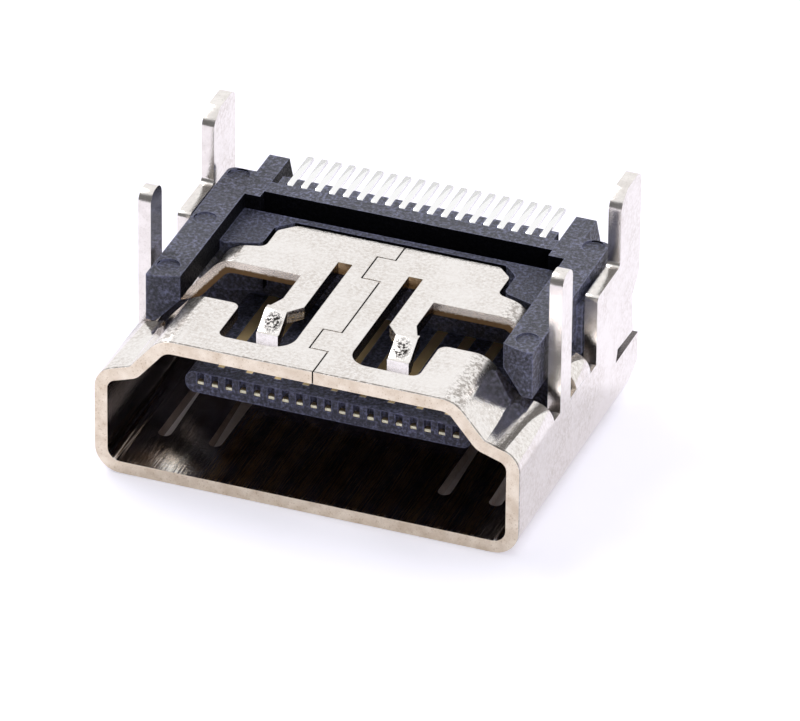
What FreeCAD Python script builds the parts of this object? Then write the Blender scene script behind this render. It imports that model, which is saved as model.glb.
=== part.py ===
import FreeCAD, Part
import math
import os
import Sketcher

# Board socket for a 19-contact digital video and audio plug, in millimetres.
# Z is up from the wide face that it lies on, X runs across the mouth, and Y runs from the mouth to the tails.
# Heights are measured from the wide outer face, depths from the front plane of the mouth.

SIZES = {
    # Folded sheet and the opening that it makes
    "sheet_thickness": 0.45,
    "opening_width": 14.0,
    "opening_height": 4.55,
    "wide_bend_radius": 0.45,
    "shoulder_height": 3.0,
    "shoulder_bend_radius": 0.35,
    "shoulder_angle": 18.4,
    "valley_half_width": 5.95,
    "valley_bend_radius": 0.2,
    "slant_angle": 50.2,
    "crown_bend_radius": 0.5,
    "wall_length": 11.42,
    "wide_face_length": 9.95,
    # Window and slot on each side of the narrow face
    "spine_half_width": 1.0,
    "slot_rear": 6.8,
    "window_front": 1.0,
    "window_inner_radius": 0.75,
    "window_half_width": 3.52,
    "window_corner_radius": 0.3,
    "ring_rear": 3.12,
    "ring_rear_at_wall": 3.4,
    "strap_front": 5.55,
    "strap_front_at_wall": 5.4,
    "strap_rear": 6.85,
    "strap_rear_on_slant": 6.45,
    "strap_rear_at_wall": 6.85,
    "plate_rear": 8.48,
    "plate_half_width": 4.12,
    "plate_corner_cut": 0.52,
    # Side wall between the legs and behind them
    "wall_height": 3.32,
    "rear_wall_height": 3.2,
    # Latch finger on the narrow face
    "finger_inner": 1.5,
    "finger_width": 0.85,
    "finger_jog_front": 3.2,
    "finger_jog_rear": 3.97,
    "finger_jog_inner_rear": 3.7,
    "finger_tip_inner": 1.92,
    "finger_tip_width": 0.76,
    "finger_dip": 0.48,
    "finger_dip_run": 0.7,
    "finger_tip_run": 0.12,
    # Spring in the wide face
    "spring_centre": 4.95,
    "spring_width": 1.35,
    "spring_slit": 0.45,
    "spring_front": 2.0,
    "spring_root": 0.6,
    "spring_length": 3.9,
    "spring_rise": 0.32,
    "spring_heel": 0.8,
    "spring_thickness": 0.3,
    # Dovetailed seam along the narrow face
    "seam_gap": 0.05,
    "seam_offset": 0.23,
    "seam_tab_reach": 0.65,
    "seam_tab_1_front": 1.4,
    "seam_tab_1_rear": 2.66,
    "seam_tab_2_front": 6.15,
    "seam_tab_2_rear": 7.6,
    # Board legs, in line with the side walls
    "leg_top": 8.45,
    "front_leg_start": 3.85,
    "front_leg_width": 0.98,
    "front_leg_round": 0.42,
    "rear_leg_start": 9.48,
    "rear_leg_lead_height": 0.4,
    "rear_leg_lead_run": 0.6,
    "rear_leg_round": 0.4,
    "rear_step_start": 7.3,
    "rear_step_height": 5.78,
    "rear_step_round": 0.2,
    # Cut-outs at the rear end of the side wall
    "rear_notch_top": 4.6,
    "rear_notch_depth": 0.66,
    "rear_notch_mid": 3.45,
    "rear_slit_start": 9.27,
    "rear_slit_low": 2.16,
    "rear_slit_high": 2.5,
    "rear_slit_throat": 0.165,
    "rear_slit_end_run": 0.15,
    "rear_slit_end_rise": 0.44,
    "rear_corner_height": 1.1,
    # Moulded housing
    "board_seat_height": 6.0,
    "housing_clearance": 0.03,
    "block_front": 7.4,
    "block_rear": 9.95,
    "deck_height": 5.45,
    "deck_low": 3.6,
    "deck_gap": 0.16,
    "deck_rear": 8.92,
    "arm_front": 2.9,
    "arm_rear": 10.42,
    "arm_inner": 5.68,
    "arm_outer": 6.8,
    "arm_low": 4.27,
    "arm_side_low": 5.1,
    "arm_keel_width": 0.35,
    "arm_nose_back": 0.32,
    "arm_nose_side": 0.37,
    "mark_diameter": 0.78,
    "mark_depth": 0.06,
    "mark_inset": 0.48,
    "mark_front": 3.71,
    "mark_middle": 6.98,
    "mark_rear": 10.02,
    "post_inner": 5.12,
    "post_round": 0.3,
    "lug_width": 0.72,
    "lug_rear": 11.62,
    "lug_thickness": 1.0,
    "lug_flare": 0.2,
    "cheek_inner": 6.0,
    "cheek_rear": 11.2,
    "cheek_low": 1.3,
    "cheek_high": 4.2,
    # Tongue and its contacts
    "tongue_front": 2.0,
    "tongue_half_width": 5.04,
    "tongue_low": 2.42,
    "tongue_thickness": 0.8,
    "tongue_end_radius": 0.35,
    "recess_width": 0.25,
    "recess_height": 0.46,
    "recess_depth": 0.22,
    "contact_count": 19,
    "contact_pitch": 0.5,
    "contact_thickness": 0.15,
    "contact_blade_width": 0.4,
    "contact_tail_width": 0.24,
    "contact_tip_height": 2.79,
    "contact_tip_thickness": 0.12,
    "contact_tip_back": 0.02,
    "contact_ramp_start": 0.28,
    "contact_ramp_run": 0.3,
    "contact_bend_radius": 0.1,
    "tail_end": 12.0,
    # Comb that keeps the tails apart
    "comb_front": 9.3,
    "comb_tooth_depth": 0.55,
    "comb_tooth_drop": 0.03,
    "comb_tooth_height": 1.0,
    "comb_clearance": 0.01,
}


class Size:
    """A length or an angle that carries both its value and its formula over the sheet."""

    def __init__(self, value, text):
        self.value = value
        self.text = text

    def joined(self, other, sign, value):
        return Size(value, "(%s %s %s)" % (self.text, sign, other.text))

    def __add__(self, other):
        other = as_size(other)
        return self.joined(other, "+", self.value + other.value)

    def __sub__(self, other):
        other = as_size(other)
        return self.joined(other, "-", self.value - other.value)

    def __mul__(self, other):
        other = as_size(other)
        return self.joined(other, "*", self.value * other.value)

    def __truediv__(self, other):
        other = as_size(other)
        return self.joined(other, "/", self.value / other.value)

    def __neg__(self):
        return Size(-self.value, "(-1 * %s)" % self.text)


def as_size(number):
    """A plain number as a Size, so that both can stand in one formula."""
    if isinstance(number, Size):
        return number
    return Size(float(number), repr(float(number)))


def sine(angle):
    return Size(math.sin(math.radians(angle.value)), "sin(%s)" % angle.text)


def cosine(angle):
    return Size(math.cos(math.radians(angle.value)), "cos(%s)" % angle.text)


def tangent(angle):
    return Size(math.tan(math.radians(angle.value)), "tan(%s)" % angle.text)


class Sizes:
    """The driving dimensions as attributes, each bound to its cell of the sheet."""

    def __init__(self, document):
        self.sheet = document.addObject("Spreadsheet::Sheet", "Sizes")
        for row, (name, value) in enumerate(SIZES.items(), start=1):
            cell = "B%d" % row
            self.sheet.set("A%d" % row, name)
            self.sheet.set(cell, str(value))
            self.sheet.setAlias(cell, name)
            setattr(self, name, Size(float(value), "Sizes.%s" % name))


def bind(item, name, size):
    """Ties one property of an object to the sheet."""
    item.setExpression(name, as_size(size).text)


# Sketches and the features made from them

PLANE_ROLES = {"top": "XY_Plane", "front": "XZ_Plane", "side": "YZ_Plane"}


def new_sketch(body, name, plane, offset=0.0):
    """A sketch on one of the body's own planes, moved along its normal by the offset."""
    sketch = body.newObject("Sketcher::SketchObject", name)
    role = PLANE_ROLES[plane]
    support = [feature for feature in body.Origin.OriginFeatures if feature.Role == role][0]
    sketch.AttachmentSupport = [(support, "")]
    sketch.MapMode = "FlatFace"
    offset = as_size(offset)
    sketch.AttachmentOffset = FreeCAD.Placement(FreeCAD.Vector(0, 0, offset.value), FreeCAD.Rotation())
    bind(sketch, "AttachmentOffset.Base.z", offset)
    return sketch


def constrain(sketch, kind, *terms, size=None):
    """Adds one constraint, and ties it to the sheet where it carries a size."""
    if size is None:
        return sketch.addConstraint(Sketcher.Constraint(kind, *terms))
    number = sketch.addConstraint(Sketcher.Constraint(kind, *terms, size.value))
    sketch.setExpression("Constraints[%d]" % number, size.text)
    return number


def place_point(sketch, geometry, position, x, y):
    """Fixes a point of the sketch at its two driving distances from the sketch's origin."""
    constrain(sketch, "DistanceX", -1, 1, geometry, position, size=as_size(x))
    constrain(sketch, "DistanceY", -1, 1, geometry, position, size=as_size(y))


def corner_round(before, corner, after, radius):
    """The two tangent points, the centre and the turn of a rounded corner."""
    back = (before - corner).normalize()
    ahead = (after - corner).normalize()
    half = back.getAngle(ahead) / 2
    reach = radius / math.tan(half)
    middle = FreeCAD.Vector(back + ahead).normalize()
    centre = corner + middle * (radius / math.sin(half))
    turn = back.cross(ahead).z
    return corner + back * reach, corner + ahead * reach, centre, turn


def draw_loop(sketch, corners):
    """A closed loop of straight edges; a corner with a third value is rounded to that radius."""
    count = len(corners)
    points = [FreeCAD.Vector(as_size(c[0]).value, as_size(c[1]).value, 0) for c in corners]
    arrive = list(points)
    leave = list(points)
    rounds = {}
    for i, corner in enumerate(corners):
        if len(corner) == 3:
            rounds[i] = corner_round(points[i - 1], points[i], points[(i + 1) % count], corner[2].value)
            arrive[i], leave[i] = rounds[i][0], rounds[i][1]
    edges = []
    for i in range(count):
        line = Part.LineSegment(leave[i], arrive[(i + 1) % count])
        edges.append(sketch.addGeometry(line, False))
    for i, corner in enumerate(corners):
        if i in rounds:
            draw_round(sketch, edges[i - 1], edges[i], points[i], corner, rounds[i])
        else:
            constrain(sketch, "Coincident", edges[i - 1], 2, edges[i], 1)
            place_point(sketch, edges[i], 1, corner[0], corner[1])


def draw_round(sketch, edge_in, edge_out, point, corner, rounding):
    """An arc between two edges, with the sharp corner kept as a construction point."""
    arrive, leave, centre, turn = rounding
    start, end = (arrive, leave) if turn < 0 else (leave, arrive)
    circle = Part.Circle(centre, FreeCAD.Vector(0, 0, 1), corner[2].value)
    first = math.atan2(start.y - centre.y, start.x - centre.x)
    last = math.atan2(end.y - centre.y, end.x - centre.x)
    arc = sketch.addGeometry(Part.ArcOfCircle(circle, first, last), False)
    sharp = sketch.addGeometry(Part.Point(point), True)
    arrive_end, leave_end = (1, 2) if turn < 0 else (2, 1)
    constrain(sketch, "Tangent", edge_in, 2, arc, arrive_end)
    constrain(sketch, "Tangent", edge_out, 1, arc, leave_end)
    constrain(sketch, "Radius", arc, size=corner[2])
    constrain(sketch, "PointOnObject", sharp, 1, edge_in)
    constrain(sketch, "PointOnObject", sharp, 1, edge_out)
    place_point(sketch, sharp, 1, corner[0], corner[1])


def draw_box(sketch, x_low, x_high, y_low, y_high):
    draw_loop(sketch, [(x_low, y_low), (x_high, y_low), (x_high, y_high), (x_low, y_high)])


def mirrored(corners, side):
    """The same outline on the other side of the middle plane, still running the same way round."""
    if side > 0:
        return corners
    return [(-corner[0],) + tuple(corner[1:]) for corner in reversed(corners)]


def pad(body, sketch, name, length, reverse=False, symmetric=False):
    feature = body.newObject("PartDesign::Pad", name)
    feature.Profile = sketch
    feature.Reversed = reverse
    feature.SideType = "Symmetric" if symmetric else "One side"
    bind(feature, "Length", length)
    return feature


def pocket(body, sketch, name, length, reverse=False, symmetric=False):
    feature = body.newObject("PartDesign::Pocket", name)
    feature.Profile = sketch
    feature.Reversed = reverse
    feature.SideType = "Symmetric" if symmetric else "One side"
    bind(feature, "Length", length)
    return feature


def new_body(document, label, s):
    """A body whose origin lies on the mouth plane, which sits half the part's length before the middle."""
    body = document.addObject("PartDesign::Body", label)
    body.Label = label
    bind(body, "Placement.Base.y", -(s.tail_end / 2))
    return body


# Sizes that follow from the driving ones

# How far a cutting outline runs past what it cuts
MARGIN = 0.6

# Share of a width that each of its two corners is rounded by to make a round end
ROUND_END = 0.49


def derive(s):
    """Adds the sizes that several pieces share."""
    s.inner_half_width = s.opening_width / 2
    s.outer_half_width = s.inner_half_width + s.sheet_thickness
    s.inner_top = s.opening_height + s.sheet_thickness
    s.outer_top = s.inner_top + s.sheet_thickness
    s.beyond_wall = s.outer_half_width + MARGIN
    s.beyond_rear = s.wall_length + MARGIN
    s.row_half_length = s.contact_pitch * (s.contact_count - 1) / 2
    s.tongue_high = s.tongue_low + s.tongue_thickness
    s.shoulder_rise = s.sheet_thickness + s.shoulder_height
    s.finger_outer = s.finger_inner + s.finger_width
    s.finger_tip_outer = s.finger_tip_inner + s.finger_tip_width


def sheet_corners(s, offset):
    """Section of the folded sheet, offset outwards from its inner face, as a closed run of rounded corners."""
    low_angle, high_angle = s.shoulder_angle, s.slant_angle
    half_turn = (as_size(90) - low_angle) / 2
    valley_rise = (s.inner_half_width - s.valley_half_width) * tangent(low_angle)
    valley = s.shoulder_rise + valley_rise
    crown = s.valley_half_width - (s.inner_top - valley) / tangent(high_angle)
    share = as_size(1) + cosine(high_angle - low_angle)
    valley_x = s.valley_half_width + offset * (sine(low_angle) + sine(high_angle)) / share
    valley_z = valley + offset * (cosine(low_angle) + cosine(high_angle)) / share
    wall = s.inner_half_width + offset
    right = [
        (wall, s.sheet_thickness - offset, s.wide_bend_radius + offset),
        (wall, s.shoulder_rise + offset * tangent(half_turn), s.shoulder_bend_radius + offset),
        (valley_x, valley_z, s.valley_bend_radius + s.sheet_thickness - offset),
        (crown + offset * tangent(high_angle / 2), s.inner_top + offset, s.crown_bend_radius + offset),
    ]
    return right + mirrored(right, -1)


# Shell: the folded sheet with its windows, fingers, springs, seam and legs

def window_corners(s):
    """Plan of the opening beside the spine, running round the latch finger."""
    return [
        (s.spine_half_width, s.window_front, s.window_inner_radius),
        (s.window_half_width, s.window_front, s.window_corner_radius),
        (s.window_half_width, s.ring_rear, s.window_corner_radius),
        (s.valley_half_width, s.ring_rear),
        (s.beyond_wall, s.ring_rear_at_wall),
        (s.beyond_wall, s.strap_front_at_wall),
        (s.valley_half_width, s.strap_front),
        (s.finger_outer, s.strap_front),
        (s.finger_outer, s.finger_jog_rear),
        (s.finger_tip_outer, s.finger_jog_front),
        (s.finger_tip_inner, s.finger_jog_front),
        (s.finger_inner, s.finger_jog_inner_rear),
        (s.finger_inner, s.slot_rear),
        (s.spine_half_width, s.slot_rear),
    ]


def rear_opening_corners(s, gap):
    """Plan of what is cut away behind the straps and the plate, drawn in from the sheet by the gap."""
    plate = s.plate_half_width + gap
    cut = s.plate_corner_cut
    rear = s.plate_rear + gap
    valley = s.valley_half_width - s.sheet_thickness
    right = [
        (s.beyond_wall, s.strap_rear_at_wall + gap),
        (valley, s.strap_rear_on_slant + gap),
        (plate, s.strap_rear + gap, s.window_corner_radius),
        (plate, rear - cut, s.window_corner_radius),
        (plate - cut, rear, s.window_corner_radius),
    ]
    return right


def seam_corners(s):
    """A thin gap that runs out and back round two tabs."""
    half = s.seam_gap / 2
    outer = s.seam_offset
    inner = s.seam_offset - s.seam_tab_reach
    path = [(outer, -as_size(MARGIN))]
    for front, rear in ((s.seam_tab_1_front, s.seam_tab_1_rear), (s.seam_tab_2_front, s.seam_tab_2_rear)):
        path += [(outer, front), (inner, front), (inner, rear), (outer, rear)]
    path.append((outer, s.plate_rear + MARGIN))
    near, far = [], []
    for i, (x, y) in enumerate(path):
        along_x = 0.0
        if 0 < i < len(path) - 1:
            along_x = 1.0 if (i - 1) % 4 < 2 else -1.0
        near.append((x - half, y - half * along_x))
        far.append((x + half, y + half * along_x))
    return near + far[::-1]


def finger_profile(s):
    """Side view of the latch finger's dipped end, from the bend forwards."""
    bend = s.finger_jog_front
    low = bend - s.finger_dip_run
    return [
        (bend + s.sheet_thickness / 2, s.outer_top),
        (bend, s.outer_top),
        (low, s.outer_top - s.finger_dip),
        (low - s.finger_tip_run, s.outer_top - s.finger_dip),
        (low - s.finger_tip_run, s.inner_top - s.finger_dip),
        (low + s.finger_tip_run, s.inner_top - s.finger_dip),
        (bend - s.finger_tip_run, s.inner_top),
        (bend + s.sheet_thickness / 2, s.inner_top),
    ]


def spring_profile(s):
    """Side view of the spring: it rises inwards from its root at the front and drops at its heel."""
    root = s.spring_front + s.spring_root
    end = s.spring_front + s.spring_length
    crest = end - s.spring_heel
    thick = s.spring_thickness
    return [
        (root - s.sheet_thickness, as_size(0)),
        (root, as_size(0)),
        (crest, s.spring_rise),
        (end, s.spring_rise / 2),
        (end, s.spring_rise / 2 + thick),
        (crest, s.spring_rise + thick),
        (root, s.sheet_thickness),
        (root - s.sheet_thickness, s.sheet_thickness),
    ]


def front_leg_profile(s):
    rear = s.front_leg_start + s.front_leg_width
    low = s.wall_height - s.sheet_thickness
    return [
        (s.front_leg_start, low),
        (rear, low),
        (rear, s.leg_top, s.front_leg_round),
        (s.front_leg_start, s.leg_top, s.front_leg_round),
    ]


def rear_leg_profile(s):
    low = s.rear_wall_height - s.sheet_thickness
    start = s.rear_leg_start
    return [
        (s.rear_step_start, low),
        (s.wall_length, low),
        (s.wall_length, s.leg_top, s.rear_leg_round),
        (start + s.rear_leg_lead_run, s.leg_top, s.rear_leg_round),
        (start, s.leg_top - s.rear_leg_lead_height, s.rear_leg_round),
        (start, s.rear_step_height, s.rear_step_round),
        (s.rear_step_start, s.rear_step_height, s.rear_step_round),
    ]


def rear_notch_profile(s):
    """Side view of the notch behind the leg and of the slit that runs forward from it."""
    depth = s.wall_length - s.rear_notch_depth
    return [
        (s.beyond_rear, s.rear_notch_top),
        (s.wall_length, s.rear_notch_top),
        (depth, s.rear_notch_top - s.rear_notch_depth),
        (depth, s.rear_notch_mid),
        (depth + s.rear_slit_throat, s.rear_slit_high),
        (s.rear_slit_start + s.rear_slit_end_run, s.rear_slit_low + s.rear_slit_end_rise),
        (s.rear_slit_start, s.rear_slit_low),
        (s.beyond_rear, s.rear_slit_low),
    ]


def rear_corner_profile(s):
    """Side view of the lower rear corner, cut on the slant up from the end of the wide face."""
    return [
        (s.wide_face_length, -as_size(MARGIN)),
        (s.beyond_rear, -as_size(MARGIN)),
        (s.beyond_rear, s.rear_corner_height),
        (s.wall_length, s.rear_corner_height),
        (s.wide_face_length, s.sheet_thickness / 2),
    ]


def cut_narrow_face(body, s):
    """Windows, rear opening and seam, all cut from above."""
    cut_top = s.outer_top + MARGIN
    windows = new_sketch(body, "window_outline", "top", cut_top)
    for side in (1, -1):
        draw_loop(windows, mirrored(window_corners(s), side))
    pocket(body, windows, "windows", cut_top - s.wall_height)
    rear = new_sketch(body, "rear_opening_outline", "top", cut_top)
    right = rear_opening_corners(s, as_size(0))
    ends = [(-s.beyond_wall, s.beyond_rear), (s.beyond_wall, s.beyond_rear)]
    draw_loop(rear, ends + right + mirrored(right, -1))
    pocket(body, rear, "rear_opening", cut_top - s.rear_wall_height)
    seam = new_sketch(body, "seam_outline", "top", cut_top)
    draw_loop(seam, seam_corners(s))
    pocket(body, seam, "seam", cut_top - s.inner_top + s.seam_gap)


def cut_springs(body, s):
    """Clears the wide face round each spring; the slits keep round front ends."""
    outline = new_sketch(body, "spring_slit_outline", "top", -as_size(MARGIN))
    half = s.spring_width / 2
    slit = s.spring_slit
    root = s.spring_front + s.spring_root
    end = s.spring_front + s.spring_length + slit
    radius = slit * ROUND_END
    for side in (1, -1):
        inner, outer = s.spring_centre - half, s.spring_centre + half
        corners = [
            (inner - slit, s.spring_front, radius),
            (inner, s.spring_front, radius),
            (inner, root),
            (outer, root),
            (outer, s.spring_front, radius),
            (outer + slit, s.spring_front, radius),
            (outer + slit, end),
            (inner - slit, end),
        ]
        draw_loop(outline, mirrored(corners, side))
    pocket(body, outline, "spring_slits", s.sheet_thickness + s.spring_thickness + MARGIN, reverse=True)


def add_strip(body, s, name, profile, low_x, width):
    """Pads one side view across the given band of X."""
    sketch = new_sketch(body, name + "_profile", "side", low_x)
    draw_loop(sketch, profile)
    pad(body, sketch, name, width)


def make_shell(document, s):
    body = new_body(document, "shell", s)
    section = new_sketch(body, "sheet_section", "front")
    draw_loop(section, sheet_corners(s, s.sheet_thickness))
    draw_loop(section, sheet_corners(s, as_size(0)))
    pad(body, section, "folded_sheet", s.wall_length, reverse=True)
    cut_narrow_face(body, s)
    cut_springs(body, s)
    for side, name in ((1, "right"), (-1, "left")):
        wall = s.inner_half_width if side > 0 else -s.outer_half_width
        add_strip(body, s, name + "_front_leg", front_leg_profile(s), wall, s.sheet_thickness)
        add_strip(body, s, name + "_rear_leg", rear_leg_profile(s), wall, s.sheet_thickness)
        start = s.finger_tip_inner if side > 0 else -s.finger_tip_outer
        add_strip(body, s, name + "_latch_bend", finger_profile(s), start, s.finger_tip_width)
        half = s.spring_width / 2
        start = s.spring_centre - half if side > 0 else -(s.spring_centre + half)
        add_strip(body, s, name + "_spring", spring_profile(s), start, s.spring_width)
    for name, profile in (("rear_notch", rear_notch_profile(s)), ("rear_corner", rear_corner_profile(s))):
        outline = new_sketch(body, name + "_outline", "side")
        draw_loop(outline, profile)
        pocket(body, outline, name, s.beyond_wall * 2, symmetric=True)
    return body


# Housing: block, deck, arms, lugs and tongue in one moulding

def make_housing(document, s):
    body = new_body(document, "housing_moulding", s)
    block = new_sketch(body, "block_section", "front", -s.block_front)
    draw_loop(block, sheet_corners(s, -s.housing_clearance))
    pad(body, block, "block", s.block_rear - s.block_front, reverse=True)
    add_deck(body, s)
    add_arms(body, s)
    add_lugs(body, s)
    add_cheeks(body, s)
    add_tongue(body, s)
    return body


def add_deck(body, s):
    """The deck round the plate and the two posts beside the comb."""
    deck = new_sketch(body, "deck_outline", "top", s.deck_low)
    side_x = s.inner_half_width - s.housing_clearance
    right = [(side_x, s.strap_rear_at_wall + s.deck_gap * 2)] + rear_opening_corners(s, s.deck_gap)[1:]
    ends = [(-side_x, s.deck_rear), (side_x, s.deck_rear)]
    draw_loop(deck, ends + right + mirrored(right, -1))
    pad(body, deck, "deck", s.deck_height - s.deck_low)
    slot = new_sketch(body, "slot_outline", "top", s.inner_top)
    draw_box(slot, -s.post_inner, s.post_inner, s.deck_rear, s.block_rear + MARGIN)
    pocket(body, slot, "slot", s.inner_top - s.deck_low)
    posts = new_sketch(body, "post_outline", "top", s.deck_low)
    for side in (1, -1):
        draw_loop(posts, mirrored([
            (s.post_inner, s.deck_rear),
            (s.arm_outer, s.deck_rear),
            (s.arm_outer, s.arm_rear, s.post_round),
            (s.post_inner, s.arm_rear),
        ], side))
    pad(body, posts, "posts", s.board_seat_height - s.deck_low)


def add_arms(body, s):
    """Five-sided arms that lie in the corners outside the slant, with cut noses and round marks on top."""
    section = new_sketch(body, "arm_section", "front", -s.arm_front)
    for side in (1, -1):
        draw_loop(section, mirrored([
            (s.arm_outer, s.arm_low),
            (s.arm_outer, s.board_seat_height),
            (s.arm_inner, s.board_seat_height),
            (s.arm_inner, s.arm_side_low),
            (s.arm_outer - s.arm_keel_width, s.arm_low),
        ], side))
    pad(body, section, "arms", s.block_rear - s.arm_front, reverse=True)
    noses = new_sketch(body, "nose_outline", "top", s.board_seat_height + MARGIN)
    marks = new_sketch(body, "mark_outline", "top", s.board_seat_height + MARGIN)
    for side in (1, -1):
        draw_loop(noses, mirrored([
            (s.arm_outer - s.arm_nose_side, s.arm_front - MARGIN),
            (s.arm_outer - s.arm_nose_side, s.arm_front),
            (s.arm_inner - s.deck_gap, s.arm_front + s.arm_nose_back),
            (s.arm_inner - s.deck_gap, s.arm_front - MARGIN),
        ], side))
        for depth in (s.mark_front, s.mark_middle, s.mark_rear):
            draw_circle(marks, (s.arm_outer - s.mark_inset) * side, depth, s.mark_diameter / 2)
    pocket(body, noses, "noses", s.board_seat_height - s.arm_low + MARGIN * 2)
    pocket(body, marks, "marks", s.mark_depth + MARGIN)


def add_lugs(body, s):
    """The two lugs behind the posts, drafted so that they narrow towards the board."""
    lugs = new_sketch(body, "lug_outline", "front", -s.block_rear)
    low = s.board_seat_height - s.lug_thickness
    for side in (1, -1):
        draw_loop(lugs, mirrored([
            (s.post_inner - s.lug_flare, low),
            (s.post_inner + s.lug_width + s.lug_flare, low),
            (s.post_inner + s.lug_width, s.board_seat_height),
            (s.post_inner, s.board_seat_height),
        ], side))
    pad(body, lugs, "lugs", s.lug_rear - s.block_rear, reverse=True)


def add_cheeks(body, s):
    """The two cheeks that fill the rear of the shell behind the slits in its side walls."""
    cheeks = new_sketch(body, "cheek_outline", "front", -s.block_rear)
    outer = s.inner_half_width - s.housing_clearance
    for side in (1, -1):
        draw_loop(cheeks, mirrored([
            (s.cheek_inner, s.cheek_low),
            (outer, s.cheek_low),
            (outer, s.cheek_high),
            (s.cheek_inner, s.cheek_high),
        ], side))
    pad(body, cheeks, "cheeks", s.cheek_rear - s.block_rear, reverse=True)


def draw_circle(sketch, x, y, radius):
    centre = FreeCAD.Vector(x.value, y.value, 0)
    ring = sketch.addGeometry(Part.Circle(centre, FreeCAD.Vector(0, 0, 1), radius.value), False)
    constrain(sketch, "Radius", ring, size=radius)
    place_point(sketch, ring, 3, x, y)


def add_tongue(body, s):
    """The tongue, with rounded ends, and one recess at its front for each contact tip."""
    tongue = new_sketch(body, "tongue_section", "front", -s.tongue_front)
    half, low, high, radius = s.tongue_half_width, s.tongue_low, s.tongue_high, s.tongue_end_radius
    draw_loop(tongue, [
        (half, low, radius), (half, high, radius), (-half, high, radius), (-half, low, radius)])
    pad(body, tongue, "tongue", s.block_front - s.tongue_front + MARGIN, reverse=True)
    recess = new_sketch(body, "recess_outline", "front", -s.tongue_front)
    recess_low = s.contact_tip_height - s.contact_tip_thickness / 2
    first = -s.row_half_length
    draw_box(recess, first - s.recess_width / 2, first + s.recess_width / 2,
             recess_low, recess_low + s.recess_height)
    cut = pocket(body, recess, "recess", s.recess_depth)
    repeat(body, recess, cut, "recesses", s, s.contact_count)


def repeat(body, sketch, feature, name, s, count):
    """Repeats a feature across the row at the contact pitch."""
    row = body.newObject("PartDesign::LinearPattern", name)
    row.Originals = [feature]
    row.Direction = (sketch, ["H_Axis"])
    row.Mode = "Spacing"
    bind(row, "Offset", s.contact_pitch)
    bind(row, "Occurrences", count)
    body.Tip = row
    return row


# Contacts and comb

def contact_path(s, upper):
    """Side view of one contact: tip, ramp, blade, riser and board tail."""
    thick = s.contact_thickness
    tip_half = s.contact_tip_thickness / 2
    tip = s.tongue_front + s.contact_tip_back
    ramp = s.tongue_front + s.contact_ramp_start
    reach = ramp + s.contact_ramp_run
    high = s.tongue_high if upper else s.tongue_low + thick
    low = high - thick
    lean = thick / 2 if upper else -(thick / 2)
    rear = s.block_rear
    bend = s.contact_bend_radius
    seat = s.board_seat_height
    return [
        (tip, s.contact_tip_height - tip_half),
        (ramp + lean / 2, s.contact_tip_height - tip_half),
        (reach + lean / 2, low),
        (rear + thick, low, bend + thick),
        (rear + thick, seat - thick, bend),
        (s.tail_end, seat - thick),
        (s.tail_end, seat),
        (rear, seat, bend + thick),
        (rear, high, bend),
        (reach - lean / 2, high),
        (ramp - lean / 2, s.contact_tip_height + tip_half),
        (tip, s.contact_tip_height + tip_half),
    ]


def make_contact(document, s, number, upper):
    body = new_body(document, "contact_%02d" % number, s)
    bind(body, "Placement.Base.x", s.contact_pitch * (number - 1) - s.row_half_length)
    path = new_sketch(body, "contact_%02d_path" % number, "side")
    draw_loop(path, contact_path(s, upper))
    pad(body, path, "contact_%02d_strip" % number, s.contact_tail_width, symmetric=True)
    low = s.tongue_high - s.contact_thickness if upper else s.tongue_low
    start = s.tongue_front + s.contact_ramp_start + s.contact_ramp_run + s.contact_thickness
    blade = new_sketch(body, "contact_%02d_blade_side" % number, "side")
    draw_box(blade, start, s.block_front, low, low + s.contact_thickness)
    pad(body, blade, "contact_%02d_blade" % number, s.contact_blade_width, symmetric=True)
    return body


def make_comb(document, s):
    """The bar between the posts, with a tooth on each side of every tail."""
    body = new_body(document, "tail_comb", s)
    bar = new_sketch(body, "bar_outline", "top", s.deck_low)
    draw_box(bar, -s.post_inner, s.post_inner, s.comb_front, s.block_rear)
    pad(body, bar, "bar", s.board_seat_height - s.deck_low)
    tooth_half = (s.contact_pitch - s.contact_tail_width) / 2 - s.comb_clearance
    top = s.board_seat_height - s.comb_tooth_drop
    rear = s.block_rear + s.comb_tooth_depth
    ends = new_sketch(body, "end_tooth_outline", "top", top)
    inner = s.row_half_length + s.contact_tail_width / 2 + s.comb_clearance
    for side in (1, -1):
        draw_loop(ends, mirrored([
            (inner, s.block_rear - s.comb_tooth_depth / 2),
            (s.post_inner - s.lug_flare - s.comb_clearance, s.block_rear - s.comb_tooth_depth / 2),
            (s.post_inner - s.lug_flare - s.comb_clearance, rear),
            (inner, rear),
        ], side))
    pad(body, ends, "end_teeth", s.comb_tooth_height, reverse=True)
    tooth = new_sketch(body, "tooth_outline", "top", top)
    first = s.contact_pitch / 2 - s.row_half_length
    draw_box(tooth, first - tooth_half, first + tooth_half, s.block_rear - s.comb_tooth_depth / 2, rear)
    one = pad(body, tooth, "tooth", s.comb_tooth_height, reverse=True)
    repeat(body, tooth, one, "teeth", s, s.contact_count - 1)
    return body


def seat_contacts(document, housing, contacts):
    """Cuts the seats of the contacts out of the moulding, so that each is held face to face."""
    rows = document.addObject("Part::Compound", "contact_rows")
    rows.Links = contacts
    seated = document.addObject("Part::Cut", "housing")
    seated.Label = "housing"
    seated.Base = housing
    seated.Tool = rows
    return seated


def check_document(document):
    """Stops if any object failed or any sub-part has no sound shape."""
    for item in document.Objects:
        bad = [state for state in item.State if state in ("Invalid", "Error")]
        if bad:
            raise RuntimeError("%s is %s" % (item.Label, bad))


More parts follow.
